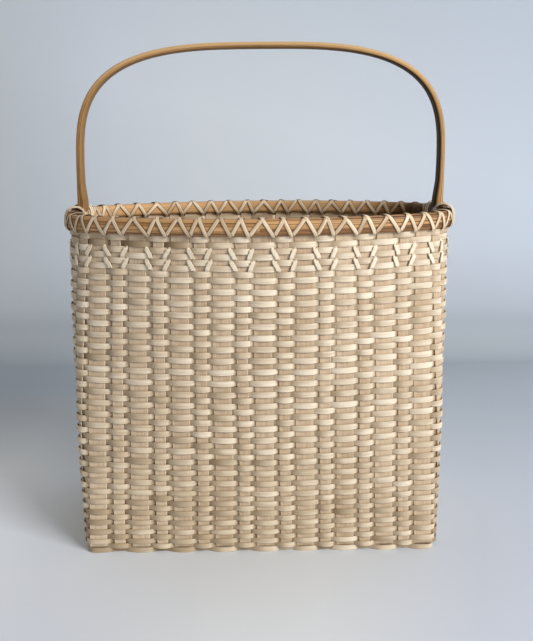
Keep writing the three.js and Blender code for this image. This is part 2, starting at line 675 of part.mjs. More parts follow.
// A notch on the inside of a leg, as high as the inner hoop with a touching gap above and below.
function notch(side) {
  const deep = SHOULDER_THICKNESS;
  const geometry = new THREE.BoxGeometry(deep, HANDLE_WIDTH * 2, INNER_RIM_HEIGHT + 2 * TOUCH_GAP);
  geometry.translate(side * (legOutside - NOTCH_WOOD - deep / 2), 0, RIM_TOP - INNER_RIM_HEIGHT / 2);
  return solidOf(geometry);
}

const handle = solidOf(loft(handleRings, false)).subtract(notch(1)).subtract(notch(-1));
addPiece("handle", geometryOf(handle), bentWood);

export default basket;
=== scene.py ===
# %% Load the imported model
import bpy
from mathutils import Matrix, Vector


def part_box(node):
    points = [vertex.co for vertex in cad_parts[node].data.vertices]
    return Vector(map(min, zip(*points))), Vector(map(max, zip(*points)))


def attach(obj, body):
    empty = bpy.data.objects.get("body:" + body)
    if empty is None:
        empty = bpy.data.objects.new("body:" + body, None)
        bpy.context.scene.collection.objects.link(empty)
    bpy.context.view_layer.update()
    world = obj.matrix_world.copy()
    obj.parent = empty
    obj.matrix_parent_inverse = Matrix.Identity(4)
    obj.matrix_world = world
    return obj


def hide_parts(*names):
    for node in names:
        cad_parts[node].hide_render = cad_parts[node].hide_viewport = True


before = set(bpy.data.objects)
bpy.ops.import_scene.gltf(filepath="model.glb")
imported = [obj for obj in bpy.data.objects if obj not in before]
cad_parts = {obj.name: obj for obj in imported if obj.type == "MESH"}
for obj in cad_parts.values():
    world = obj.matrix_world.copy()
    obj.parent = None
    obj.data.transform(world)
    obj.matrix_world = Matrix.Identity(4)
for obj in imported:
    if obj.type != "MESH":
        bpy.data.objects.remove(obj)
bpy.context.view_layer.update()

# %% [markdown]
# # A chairside basket, woven in numpy
# A splint basket is made of flat strips of ash. Stakes cross under the base and turn up to make the walls, thin
# weavers pass over one stake and under the next, and two hoops lashed with more splint hold the top edge. The
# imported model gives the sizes; this lesson makes the surfaces that the eye sees. Every strip is a grid of points:
# one parameter runs along the strip and one runs round its section, so whole arrays make it with no loop over points.

# %% Sizes, in metres
import math
import bmesh
import bpy
import numpy as np
from mathutils import Matrix

MM = 0.001
RIM_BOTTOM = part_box("outer_rim")[0][2]
RIM_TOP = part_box("outer_rim")[1][2]
HANDLE_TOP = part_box("handle")[1][2]
STAKES_ALONG, STAKES_ACROSS = 17, 7
WIDE, NARROW = 17.5 * MM, 11 * MM
PITCH, END_PITCH = 20.1 * MM, 25.25 * MM
DRIFT = 4.5 * MM  # of the middle cross stakes to the right
LAST_ALONG = (STAKES_ALONG - 1) / 2 * PITCH
BASE_HALF = (173.0 * MM, 91.9 * MM)
RIM_HALF = (191.6 * MM, 91.9 * MM)
BASE_RADIUS, RIM_RADIUS = 7 * MM, 56 * MM
BASE_SWELL, RIM_SWELL = 1e-4, math.radians(25)
STAKE_THICKNESS, WEAVER_THICKNESS = 1.0 * MM, 0.8 * MM
SWING = 2.1 * MM  # of a weaver to each side of the wall
LEAN, LEAN_FROM, LEAN_OVER = 2 * MM, 0.2, 0.13  # to the right, from one height up, over this much height
rng = np.random.default_rng(7)
print("rim from", round(RIM_BOTTOM, 4), "to", round(RIM_TOP, 4), "handle top", round(HANDLE_TOP, 4))

# %% [markdown]
# ## The camera
# The photograph looks at the long face from a little above, with the lens level enough that the sides hardly
# converge. A small upward crop of the frame is given as lens shift, which leaves the viewing angle alone.

# %% The camera
PHOTO_HEIGHT, FOCAL, CROP = 641, 850.05, -60  # pixels
PAN, DOWN, ROLL = -0.41, 9.347, -0.49  # degrees
SENSOR = 36


def add_object(name, data):
    """A new object in the scene that holds the data."""
    thing = bpy.data.objects.new(name, data)
    bpy.context.scene.collection.objects.link(thing)
    return thing


camera = add_object("camera", bpy.data.cameras.new("camera"))
camera.location = (0.0023, -0.8767, 0.4212)
aim = Matrix.Rotation(math.radians(PAN), 4, "Z") @ Matrix.Rotation(math.radians(90 - DOWN), 4, "X")
camera.rotation_euler = (aim @ Matrix.Rotation(math.radians(ROLL), 4, "Z")).to_euler()
camera.data.sensor_fit = "VERTICAL"
camera.data.sensor_height = SENSOR
camera.data.lens = SENSOR * FOCAL / PHOTO_HEIGHT
camera.data.shift_y = CROP / PHOTO_HEIGHT
camera.data.clip_end = 50
bpy.context.scene.camera = camera
bpy.context.scene.view_settings.view_transform = "Standard"
print("lens", round(camera.data.lens, 2), "mm, shift", round(camera.data.shift_y, 4))

# %% [markdown]
# ## The shape of the wall
# Seen from above, the wall is nearly square-cornered at the base and an oval at the rim. Every quarter of it is a
# shallow arc along the front, a corner arc and half of a straight end, each touching the next: their centres are on
# one line with the point where they meet. A place on the wall is a turn, counted in quarters from the middle of the
# front, and a height. A hand-made basket is never quite regular, so a slow ripple moves the places a little, and
# stakes and weavers share it.

# %% The plan at a height
def plan_at(z):
    """Half length, half depth, corner radius and swell, the angle that half of the shallow arc turns through: base and
    rim blended by powers of the height, drawn in at the foot, with a slight belly at the ends."""
    height = np.clip(z / RIM_BOTTOM, 0, 1)
    foot = 3.2 * MM * np.clip(1 - z / (9 * MM), 0, 1) ** 2
    belly = 1.5 * MM * np.sin(math.pi * height ** 0.7)

    def between(base, rim, power):
        return base + (rim - base) * height ** power

    a, b = between(BASE_HALF[0], RIM_HALF[0], 1.27) - foot + belly, between(BASE_HALF[1], RIM_HALF[1], 1) - foot
    return a, b, between(BASE_RADIUS, RIM_RADIUS, 2.43), between(BASE_SWELL, RIM_SWELL, 0.8)


def arcs_of(plan):
    """The shallow arc's radius, r + (a - r) / sin(swell), and half of the straight end,
    b - r - (a - r) tan(swell / 2)."""
    a, b, r, swell = plan
    return r + (a - r) / np.sin(swell), b - r - (a - r) * np.tan(swell / 2)


def quarter(plan):
    """A quarter of a plan's perimeter: the lengths of its two arcs and of half its end."""
    radius, end = arcs_of(plan)
    return radius * plan[3] + plan[2] * (math.pi / 2 - plan[3]) + end


base_quarter = float(quarter((*BASE_HALF, BASE_RADIUS, BASE_SWELL)))


def share_left(plan):
    """What the plan leaves of a quarter beyond the last stake of the front, as a share of what the base leaves."""
    return (quarter(plan) - LAST_ALONG) / (base_quarter - LAST_ALONG)


def spread(plan, turn):
    """Turns of the base as turns of a plan: lengths from the front's middle stay as they are up to the last stake,
    and the rest of the quarter shrinks or grows with the plan."""
    middle = np.round(turn / 2) * 2
    at_base = np.abs(turn - middle) * base_quarter
    along = np.minimum(at_base, LAST_ALONG) + np.maximum(0, at_base - LAST_ALONG) * share_left(plan)
    return middle + np.sign(turn - middle) * along / quarter(plan)


def round_plan(plan, turn, out):
    """Points and outward normals of a plan at turns: one quarter is worked out, and turned over for the others."""
    a, b, r, swell = plan
    radius, end = arcs_of(plan)
    whole = np.mod(turn, 4.0)
    half = np.floor(whole / 2)
    within = whole - 2 * half
    back = within > 1
    s = quarter(plan) * np.where(back, 2 - within, within)
    on_corner = s > radius * swell
    angle = np.where(on_corner, swell + (s - radius * swell) / r, s / radius)
    past = np.maximum(angle - math.pi / 2, 0) * r
    angle = np.minimum(angle, math.pi / 2)
    reach = np.where(on_corner, r, radius) + out
    x = np.where(on_corner, a - r, 0) + reach * np.sin(angle)
    y = np.where(on_corner, -end, radius - b) - reach * np.cos(angle) + past
    spin = np.where(half == 1, -1, 1)
    flip = spin * np.where(back, -1, 1)
    return np.stack([spin * x, flip * y], -1), np.stack([spin * np.sin(angle), -flip * np.cos(angle)], -1)


def top_drift(turn):
    """How far the stakes' upper ends stand aside along the front, in metres."""
    places = [-0.7, -0.57, -0.51, -0.42, -0.29, -0.2, -0.12, 0.0, 0.37, 0.457, 0.51, 0.577, 0.63, 0.7, 0.8]
    drifts = [0, -3.2, -2.4, 0.4, 1, -1, -2, -3, -3, -0.5, 1.5, 3.5, 4.5, 3, 0]
    return MM * np.interp(turn, places, drifts)


def hump(value, middle, width):
    """1 at the middle, falling away smoothly on both sides: exp(-((value - middle) / width)^2)."""
    return np.exp(-((value - middle) / width) ** 2)


def ripple(turn, z):
    """How far a place strays sideways and upwards: slow waves of turn and height, in millimetres and fading under the
    rim, three humps under the drift of the stakes' upper ends, and a sag of the lower rows of front and back."""
    calm = np.clip((RIM_BOTTOM - z) / (40 * MM), 0, 1)
    side = 0.45 * np.sin(2.1 * turn * math.pi + 23 * z) + 0.35 * np.sin(9 * turn * math.pi / 2 - 41 * z + 1)
    lift = 0.5 * np.sin(turn * math.pi + 11 * z) + 0.3 * np.sin(5.5 * turn * math.pi + 30 * z + 2)
    up = np.clip((z - 0.283) / (30 * MM), 0, 1)
    high = hump(z, 0.275, 50 * MM) * (1 - up)
    side = side + high * (1.7 * hump(turn, -0.26, 0.12) - 2.8 * hump(turn, 0.37, 0.14) + 4.2 * hump(turn, 0.64, 0.07))
    lift = lift - 1.9 * hump(z, 75 * MM, 60 * MM) * np.cos(math.pi / 2 * (turn - 0.18)) ** 2
    return side * calm * MM + up * top_drift(turn), lift * calm * np.clip(z / (30 * MM), 0, 1) * MM


def wall(turn, z, out=0.0, stray=True, sideways=0.0):
    """The point at a base turn and height, moved sideways and out along the wall's normal, and that normal."""
    turn, z, out, sideways = (v + 0.0 for v in np.broadcast_arrays(turn, z, out, sideways))
    if stray:
        side, lift = ripple(turn, z)
        sideways, z = sideways + side, z + lift
    plan = plan_at(z)
    point, normal = round_plan(plan, spread(plan, turn) + sideways / quarter(plan), out)
    return np.concatenate([point, z[..., None]], -1), np.concatenate([normal, 0 * z[..., None]], -1)


rim_quarter = float(quarter(plan_at(RIM_BOTTOM)))
print("perimeter at the base", round(4 * base_quarter, 3), "and at the rim", round(4 * rim_quarter, 3))

# %% [markdown]
# ## Where the stakes stand
# Wide and narrow stakes take turns all the way round. A weaver is half-way from outside to inside in the middle of
# each gap, so the gaps cut the way round into cells, one to a stake.

# %% Stakes and cells
def stake_row(count, pitch, first_width):
    """Distances from a side's middle and widths of its stakes: evenly spaced, the widths in turn."""
    distance = (np.arange(count) - (count - 1) / 2) * pitch
    return distance, np.where(np.arange(count) % 2 == 0, first_width, WIDE + NARROW - first_width)


along, along_width = stake_row(STAKES_ALONG, PITCH, WIDE)
along = along + DRIFT * (1 - (along / LAST_ALONG) ** 2) * (1 - along / LAST_ALONG / 3)
across, across_width = stake_row(STAKES_ACROSS, END_PITCH, NARROW)
rim_share = float(share_left(plan_at(RIM_BOTTOM)))
turns = np.concatenate([along / base_quarter, 1 + across / base_quarter,
                        2 - along[::-1] / base_quarter, 3 + across / base_quarter])
widths = np.concatenate([along_width, across_width, along_width, across_width])
on_end = np.concatenate([np.zeros(STAKES_ALONG), np.ones(STAKES_ACROSS)] * 2)
per_length = 1 / base_quarter / np.where(on_end, rim_share, 1)
edge = widths / 2 * per_length
next_turn, next_edge = np.append(turns[1:], turns[0] + 4), np.roll(edge, -1)
gaps = (turns + edge + next_turn - next_edge) / 2
cell_edges = np.append(gaps[-1] - 4, gaps)
cell_start = cell_edges[:-1]


def in_cell(edges, place):
    """The cell that each place lies in, and q, which runs from -1 to 1 across that cell."""
    cell = np.clip(np.searchsorted(edges, place, side="right") - 1, 0, len(edges) - 2)
    start, end = edges[cell], edges[cell + 1]
    return cell, (place - (start + end) / 2) / ((end - start) / 2)


print(len(turns), "stake ends,", int((widths == WIDE).sum()), "of them wide")

# %% [markdown]
# ## From a grid to a mesh
# One function turns every grid into a mesh. Its faces are all quads, with a cap on each end of an open strip, and
# it measures the volume that they enclose to make them point outwards. The UV map holds metres along the strip and
# metres across it, so that grain drawn on it runs with the wood.

# %% Grid to mesh
def surface(name, points, uv, ring=False, sharp=35, tone=0.0, share=0.0):
    """A closed mesh through sections points[i, j]; the sections close on themselves, and run in a ring or get caps.
    A second UV map holds the tone, darker below 0 and paler above, and the share across the strip, from -0.5
    to 0.5. The upper part of the basket leans a little to the right, like the one in the photograph."""
    n, m = points.shape[:2]
    lean = LEAN * np.clip((points[..., 2:] - LEAN_FROM) / LEAN_OVER, 0, 1) ** 1.5
    points = points + lean * np.array([1.0, 0, 0])
    i, j = np.meshgrid(np.arange(n if ring else n - 1), np.arange(m), indexing="ij")
    i2, j2 = (i + 1) % n, (j + 1) % m
    quads = np.stack([i * m + j, i * m + j2, i2 * m + j2, i2 * m + j], -1).reshape(-1, 4)
    corner_uv = np.stack([uv[i, j], uv[i, j + 1], uv[i + 1, j + 1], uv[i + 1, j]], -2).reshape(-1, 4, 2)
    flat = points.reshape(-1, 3)
    p = flat[quads]
    volume = np.einsum("ij,ij->i", p[:, 0], np.cross(p[:, 1], p[:, 2]) + np.cross(p[:, 2], p[:, 3])).sum()
    if volume < 0:
        quads, corner_uv = quads[:, ::-1], corner_uv[:, ::-1]
    loops, starts, corner_uv = quads.reshape(-1), np.arange(len(quads)) * 4, corner_uv.reshape(-1, 2)
    if not ring:
        first = np.arange(m) if volume < 0 else np.arange(m)[::-1]
        last = first[::-1]
        loops = np.concatenate([loops, first, (n - 1) * m + last])
        starts = np.concatenate([starts, [len(quads) * 4, len(quads) * 4 + m]])
        corner_uv = np.concatenate([corner_uv, uv[0, first], uv[-1, last]])
    tone = np.asarray(tone, float)
    tone = np.broadcast_to(tone[:, None] if tone.ndim == 1 else tone, (n, m)).ravel()
    shade = np.stack([tone[loops], np.broadcast_to(share, (n, m)).ravel()[loops]], -1)
    mesh = bpy.data.meshes.new(name)
    for part, size, key, values in ((mesh.vertices, len(flat), "co", flat.astype(np.float32)),
                                    (mesh.loops, len(loops), "vertex_index", loops.astype(np.int32)),
                                    (mesh.polygons, len(starts), "loop_start", starts.astype(np.int32))):
        part.add(size)
        part.foreach_set(key, values.ravel())
    for layer, values in (("strip", corner_uv), ("tone", shade)):
        mesh.uv_layers.new(name=layer).data.foreach_set("uv", values.astype(np.float32).ravel())
    mesh.update(calc_edges=True)
    mesh.validate()
    mesh.polygons.foreach_set("use_smooth", np.ones(len(starts), bool))
    mesh.set_sharp_from_angle(angle=math.radians(sharp))
    return mesh


def joined(name, meshes):
    """Several meshes as one, by way of a bmesh that holds them all."""
    whole = bmesh.new()
    for mesh in meshes:
        whole.from_mesh(mesh)
    result = bpy.data.meshes.new(name)
    whole.to_mesh(result)
    whole.free()
    for mesh in meshes:
        bpy.data.meshes.remove(mesh)
    return result


def add_piece(mesh, material, slot, *nodes):
    """Puts a mesh in the scene as a piece that stands for CAD nodes."""
    piece = add_object(mesh.name, mesh)
    mesh.materials.append(material)
    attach(piece, "root")
    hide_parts(*nodes)


# %% [markdown]
# ## From a path to a strip
# A splint is a flat section carried along a path. At each point of the path the section's corners are set out in two
# directions, across the strip and out of its face, and that is the grid.

# %% A strip on a path
# The section's corners, outer face first: shares of its width and of its thickness, and where the crown is added.
EASE = 0.03
ACROSS = np.array([-0.5, EASE - 0.5, 0, 0.5 - EASE, 0.5, 0.5, -0.5])
OUT = np.array([0.3, 0.5, 0.5, 0.5, 0.3, -0.5, -0.5])
CROWN = np.array([0, 0, 1, 0, 0, 0, 0])


def unit(vectors):
    """The same directions, each with a length of 1."""
    return vectors / np.linalg.norm(vectors, axis=-1, keepdims=True)


def turned_to(vectors, towards):
    """The vectors, turned over where they point against the other ones."""
    return vectors * np.sign((vectors * towards).sum(-1, keepdims=True))


def path_length(path, ring=False):
    """Lengths from a path's start to each of its points, and in a ring on to its start again."""
    path = np.concatenate([path, path[:1]]) if ring else path
    return np.concatenate([[0], np.cumsum(np.linalg.norm(np.diff(path, axis=0), axis=1))])


def grid_uv(lengths, places):
    """The UV map of a grid: lengths along the strip, one to a section, and places across it, one to a corner."""
    return np.stack(np.broadcast_arrays(lengths[:, None], places), -1)


def ribbon(name, path, lengths, sideways, facing, section, shift, tone, share=ACROSS):
    """A mesh of a section, given by its width, thickness and crown, set on a path: point + across * sideways + out *
    facing. A path with one length more than points is a ring. Shift moves the grain across the strip."""
    width, thickness, crown = section
    across_strip, outwards = ACROSS * width, OUT * thickness + CROWN * crown
    points = path[:, None] + across_strip[:, None] * sideways[:, None] + outwards[:, None] * facing[:, None]
    uv = grid_uv(lengths, np.append(across_strip, across_strip[0]) + shift)
    return surface(name, points, uv, ring=len(lengths) > len(path), tone=tone, share=share)


# %% [markdown]
# ## Shader sums as Python
# A material is a graph, and small sums in it are hard to read as nodes. Wire wraps one socket of the graph: its
# operators add Math nodes, so the sum reads as a line of Python, and its node method adds any other node.

# %% Wire
def operator(operation, swapped=False):
    """A method that adds a Math node of the wire and another value or wire, which comes first if swapped."""
    def method(self, other=0):
        first, second = (other, self) if swapped else (self, other)
        return self.node("ShaderNodeMath", {0: first, 1: second}, operation=operation)
    return method


class Wire:
    """One socket of a material's graph, which arithmetic extends."""

    def __init__(self, tree, socket=None):
        self.tree, self.socket = tree, socket

    def node(self, kind, inputs=None, output=0, **settings):
        """Adds a node: its settings first, then the values or wires of its sockets."""
        made = self.tree.nodes.new(kind)
        for key, value in settings.items():
            setattr(made, key, value)
        for key, value in (inputs or {}).items():
            if isinstance(value, Wire):
                self.tree.links.new(value.socket, made.inputs[key])
            else:
                made.inputs[key].default_value = value
        return Wire(self.tree, made.outputs[output])

    __add__ = __radd__ = operator("ADD")
    __mul__ = __rmul__ = operator("MULTIPLY")
    __sub__, __rsub__ = operator("SUBTRACT"), operator("SUBTRACT", swapped=True)
    __pow__, __abs__ = operator("POWER"), operator("ABSOLUTE")

    def mix(self, first, second):
        """Blends two colours by this wire."""
        return self.node("ShaderNodeMix", {0: self, 6: first, 7: second}, output=2, data_type="RGBA")

    def clip(self):
        """Held between 0 and 1."""
        return self.node("ShaderNodeClamp", {0: self})

    def ramp(self, low, high):
        """Stretches the values between low and high to 0 to 1, and holds them there."""
        return self.node("ShaderNodeMapRange", {0: self, 1: low, 2: high}, clamp=True)


def colour(red, green, blue):
    """A colour as the eye names it, from 0 to 255, made linear for the shader."""
    share = np.array([red, green, blue]) / 255
    linear = np.where(share <= 0.04045, share / 12.92, ((share + 0.055) / 1.055) ** 2.4)
    return (*linear.tolist(), 1.0)


# %% [markdown]
# ## Ash splint
# Split ash shows fine straight streaks along the strip, and each strip is a little different in shade, from cream
# to tan. The UV map carries metres, so noise stretched along U draws the streaks at their real size. Slow noise
# along the strip shifts the shade from one bar to the next, as light and handling have done on the real one.

# %% Splint material
def new_material(name):
    """An empty material, its shader and a wire to start from."""
    material = bpy.data.materials.new(name)
    material.use_nodes = True
    return material, material.node_tree.nodes["Principled BSDF"], Wire(material.node_tree)


def wood(name, sheen):
    """A new wood material, as what its sums start from and a function that ends them. Noise is drawn u and v times to
    a metre along and across the strip; tone and share come from the second UV map."""
    material, shader, start = new_material(name)
    shader.inputs["Specular IOR Level"].default_value = sheen
    strip, second = (start.node("ShaderNodeUVMap", uv_map=layer) for layer in ("strip", "tone"))
    tone, share = (start.node("ShaderNodeSeparateXYZ", {0: second}, output=k) for k in (0, 1))

    def noise(u, v, detail=2.0):
        place = start.node("ShaderNodeVectorMath", {0: strip, 1: (u, v, 0)}, operation="MULTIPLY")
        return start.node("ShaderNodeTexNoise", {"Vector": place, "Scale": 1.0, "Detail": detail})

    def finish(base, rough, height, strength, distance):
        bump = start.node("ShaderNodeBump", {"Height": height, "Strength": strength, "Distance": distance})
        for key, wire in (("Base Color", base), ("Roughness", rough), ("Normal", bump)):
            material.node_tree.links.new(wire.socket, shader.inputs[key])
        return material

    return noise, tone, share, finish


def splint(name, pale, tan, dark, shade_length=0.03, rough=0.62, edges=0.0, edge_from=0.36, sheen=0.35, streaky=0.42):
    """Split ash: pale to tan by noise and tone, dark streaks, and dark edges of painted shade from a share of the width
    outwards. A low tone turns it to the dark colour as painted shade, and a high tone to near white as a painted
    highlight.
    """
    noise, tone, share, finish = wood(name, sheen)
    streaks, soft_streaks = noise(45, 2600, 3.0), noise(14, 700)
    shade, slow = noise(1 / shade_length, 190), noise(4, 23, 1.0)
    body = ((shade * 0.55 + slow * 0.45).ramp(0.36, 0.66) - tone).clip().mix(pale, tan)
    # painted shade: a tone below -0.35 turns the body towards the dark colour
    body = (tone * -1.0 - 0.35).clip().mix(body, dark)
    # painted highlight: a tone above 0.3 turns it towards near white
    body = (tone - 0.3).clip().mix(body, colour(255, 243, 215))
    grain = (streaks * 0.5 + soft_streaks * 0.5).ramp(0.5, 0.72)
    # the dark edges are painted shade
    toned = (grain * streaky + abs(share).ramp(edge_from, 0.5) * edges).clip().mix(body, dark)
    return finish(toned, streaks * 0.18 + (rough - 0.09), streaks * 0.6 + soft_streaks, 0.35, 0.00015)


# edges sets how much painted shade darkens the edges of each strip
weaver_splint = splint("weaver_splint", colour(242, 227, 203), colour(210, 189, 159), colour(134, 109, 74),
                       rough=0.46, edges=0.5, edge_from=0.44, sheen=0.6)
stake_splint = splint("stake_splint", colour(218, 196, 167), colour(193, 167, 136), colour(138, 110, 80),
                      shade_length=0.05)
lashing_splint = splint("lashing_splint", colour(244, 221, 188), colour(208, 180, 145), colour(92, 64, 38),
                        rough=0.5, edges=1.1, edge_from=0.3, sheen=0.5, streaky=0.75)
print("splint materials made")

# %% [markdown]
# ## Bent wood
# The hoops and the handle are thicker ash, shaved and steam bent. Growth rings show as long brown lines, denser in
# places, so the grain is both drawn and pressed in.

# %% Bent wood material
def bent_wood(name, light, warm, dark, deep, pale, gloss=0.42, sheen=0.3):
    """Shaved ash: light to warm in bands, dark rings and pores, then the deep colour as painted shade where the tone is
    below 0, or pale where it is above.
    """
    noise, tone, _, finish = wood(name, sheen)
    rings, pores, bands = noise(3.0, 1000, 1.5), noise(60, 2400), noise(1.5, 150, 1.0)
    body = bands.ramp(0.38, 0.64).mix(light, warm)
    lines = rings.ramp(0.48, 0.6) * 0.7 + pores.ramp(0.48, 0.72) * 0.4 + bands.ramp(0.56, 0.68) * 0.3
    # a tone below 0 turns to the deep colour, which is painted shade
    toned = (tone * -1.0).clip().mix(lines.clip().mix(body, dark), deep)
    return finish(tone.clip().mix(toned, pale), pores * 0.2 + gloss, rings + pores * 0.4, 0.4, 0.0003)


# the fourth colour of each is the deep brown of painted shade; the handle's last colour is its painted highlight
rim_wood = bent_wood("rim_wood", colour(214, 168, 114), colour(184, 138, 88), colour(80, 47, 24), colour(60, 38, 20),
                     colour(232, 184, 130))
handle_wood = bent_wood("handle_wood", colour(216, 172, 116), colour(188, 142, 90), colour(80, 50, 26),
                        colour(44, 26, 12), colour(244, 206, 152), gloss=0.5, sheen=0.12)
print("bent wood materials made")

# %% [markdown]
# ## Weavers
# Each row is one flat strip that goes round the basket, over one stake and under the next; the next row does the
# opposite. Over a stake the strip bows gently outwards, and between stakes it dives at about half a millimetre a
# millimetre. So its distance from the wall is plus or minus (1 - |q|^p), where q runs from -1 to 1 across the cell,
# and p is a little over 2, so that the strip is bent all the way and steepest in the gaps.

# %% A woven row
ROWS, EVEN_ROWS, ROOM = 58, 36, 0.3 * MM
ROW_HEIGHT, NARROWING = 5.58, 0.0385  # before the rows are scaled to fill the wall
FIRST_ROW_TOP = RIM_BOTTOM - ROOM
row_heights = ROW_HEIGHT - NARROWING * np.maximum(0, np.arange(ROWS) - (EVEN_ROWS - 1))
row_heights *= (FIRST_ROW_TOP - ROOM) / row_heights.sum()
row_tops = FIRST_ROW_TOP - np.concatenate([[0], np.cumsum(row_heights)[:-1]])
CELL_STEPS = 12
BOW_POWER = 2.1


def calmer(x, z):
    """How much less the bars stand out from the stakes in tone, 0 to 1.2: more to the left, a little more low down."""
    return np.clip((-x - 10 * MM) / (110 * MM), 0, 1) * 0.8 + 0.4 * np.clip(1 - z / 0.2, 0, 1)


def woven_row(row):
    """One row as a mesh: a strip whose middle line swings out and in by 1 - |q|^p in each cell. Its tone changes by
    chance, and painted light makes it paler with height. Along each bar painted shade darkens the left end and a
    painted highlight lights the right end, and painted shade darkens the stretches that lie inside the stakes."""
    cell = np.repeat(np.arange(len(turns)), CELL_STEPS)
    share = np.tile(np.arange(CELL_STEPS) / CELL_STEPS, len(turns))
    turn = cell_start[cell] + share * (gaps - cell_start)[cell]
    over = (widths[cell] == WIDE) == (row % 2 == 1)
    bow = np.where(over, 1.0, -1.0) * (1 - np.abs(in_cell(cell_edges, turn)[1]) ** BOW_POWER)
    swing = bow * SWING * (1 + 0.1 * rng.normal(size=len(turns)).clip(-2, 2)[cell])
    # tone: by chance from bar to bar and row to row, and paler towards the rim as painted light
    shade = 0.14 * rng.normal(size=len(turns))[cell] + 0.1 * rng.normal() + 0.42 * (row_tops[row] / RIM_TOP - 0.45)
    # painted shade on the left end of each bar and a painted highlight at its right end
    painted_bar_light = np.interp(share, [0, 0.15, 0.48, 0.62, 0.92, 1], [-0.54, -0.52, -0.07, -0.02, 0.22, 0.1])
    # painted shade where the strip lies inside the stakes
    painted_shade_behind = np.interp(share, [0, 0.08, 1], [-0.3, -0.9, -0.62])
    calm = calmer(base_quarter * np.sin(math.pi / 2 * turn), row_tops[row])
    # to the left and low down the painted shade and highlight are weaker and the bars darker
    shade = shade + np.where(over, painted_bar_light, painted_shade_behind) * (1 - 0.45 * calm) - 0.34 * calm
    if row == 1:  # a darker stretch at the left of the second row
        shade = shade - 0.75 * np.interp(np.mod(turn + 2, 4) - 2, [-0.9, -0.7, -0.28, -0.16], [0, 1, 1, 0])
    middle = row_tops[row] - row_heights[row] / 2
    middle = middle + 0.1 * MM * np.sin(turn * math.pi * rng.uniform(2, 5) + rng.uniform(0, 6))
    point, normal = wall(turn, middle, swing)
    tangent = unit(np.roll(point, -1, 0) - np.roll(point, 1, 0))
    facing = unit(turned_to(np.cross(tangent, [0, 0, 1.0]), normal))
    upwards = (0.97 + 0.1 * np.abs(bow) ** 0.5)[:, None] * np.array([0, 0, 1.0])
    lengths = path_length(point, ring=True) + row * 0.37
    section = (row_heights[row], WEAVER_THICKNESS, 0.02 * MM)
    return ribbon(f"row_{row + 1:02d}", point, lengths, upwards, facing, section, row * 0.071, shade)


# %% [markdown]
# A weaver piece of the CAD stands for two or three rows, which its name gives. Each twist course takes two.

# %% Weave every row
triangles = 0
for node in sorted(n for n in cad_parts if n.startswith(("weavers", "twist"))):
    if node.startswith("twist"):
        first, last = (3, 4) if node.endswith("upper") else (5, 6)
    else:
        first, last = map(int, node.split("_")[1:])
    mesh = joined(f"woven_{node}", [woven_row(r - 1) for r in range(first, last + 1)])
    add_piece(mesh, weaver_splint, "weaver_splint", node)
    triangles += sum(len(p.vertices) - 2 for p in mesh.polygons)
print(ROWS, "rows woven,", triangles, "triangles")

# %% [markdown]
# ## Stakes
# A stake is one strip that runs up one wall, under the base and up the other. On the walls it follows the plan, so
# its sections are curved where the corner is. Under the base the long and the cross stakes weave plainly.

# %% Stakes
STAKE_TOP = RIM_TOP - 1.4 * MM
BASE_LEVEL = 1.6 * MM
BEND = 8 * MM


def stake(name, run, distance, width, turn_here, turn_there, first_over, crossing_cells):
    """A stake as a grid: heights down one wall, a quarter-circle bend, the woven base, and the same up again. On the
    base it swings by 1 - |q|^4 in each cell, up or down in turn."""
    ease = 1 - 0.9 * MM / width
    wide_share = np.array([-1, -ease, -0.5, 0, 0.5, ease, 1, 1, 0.5, 0, -0.5, -1])
    side = np.array([0.1, 1, 1, 1, 1, 1, 0.1, -1, -1, -1, -1, -1]) * STAKE_THICKNESS / 2
    heights = np.concatenate([np.linspace(STAKE_TOP, RIM_BOTTOM, 4), np.linspace(RIM_BOTTOM, 12 * MM, 46)[1:]])
    lateral = np.array([-run[1], run[0], 0.0])
    forward = np.array([run[0], run[1], 0.0])
    beside = (distance + wide_share * width / 2)[None, :, None] * lateral
    reach = float(np.abs(wall(turn_here, BASE_LEVEL + BEND, 0, False)[0] @ forward))

    def up_wall(turn, flip):
        point, normal = wall(turn, heights[:, None], sideways=flip * wide_share * width / 2)
        return point + side[None, :, None] * normal

    def bend(end):
        angle = np.linspace(0.15, math.pi / 2, 7)[:, None]
        out = reach - BEND * (1 - np.cos(angle)) + side * np.cos(angle)
        z = BASE_LEVEL + BEND * (1 - np.sin(angle)) - side * np.sin(angle)
        place = end * out[..., None] * forward + beside
        place[..., 2] += z
        return place

    flat = reach - BEND
    s = np.linspace(flat, -flat, 150)[1:-1]
    cell, q = in_cell(crossing_cells, s)
    sign = np.where((cell + first_over) % 2 == 0, 1.0, -1.0)
    fade = np.clip((flat - np.abs(s)) / (6 * MM), 0, 1)
    level = BASE_LEVEL + sign * (1 - np.abs(q) ** 4) * 0.95 * MM * fade
    base = s[:, None, None] * forward + beside
    base[..., 2] += level[:, None] - side
    points = np.concatenate([up_wall(turn_here, 1), bend(1), base, bend(-1)[::-1], up_wall(turn_there, -1)[::-1]])
    places = np.append(wide_share, wide_share[0]) * width / 2 + distance * 7 + run[0]
    uv = grid_uv(path_length(points[:, 2]) + distance * 31, places)
    return surface(name, points, uv, tone=0.42 * calmer(points[..., 0], points[..., 2]))


def cells_between(distances, stake_widths):
    """Where the gaps between parallel stakes lie, with one beyond each end."""
    middle = (distances[:-1] + stake_widths[:-1] / 2 + distances[1:] - stake_widths[1:] / 2) / 2
    return np.concatenate([[2 * distances[0] - middle[0]], middle, [2 * distances[-1] - middle[-1]]])


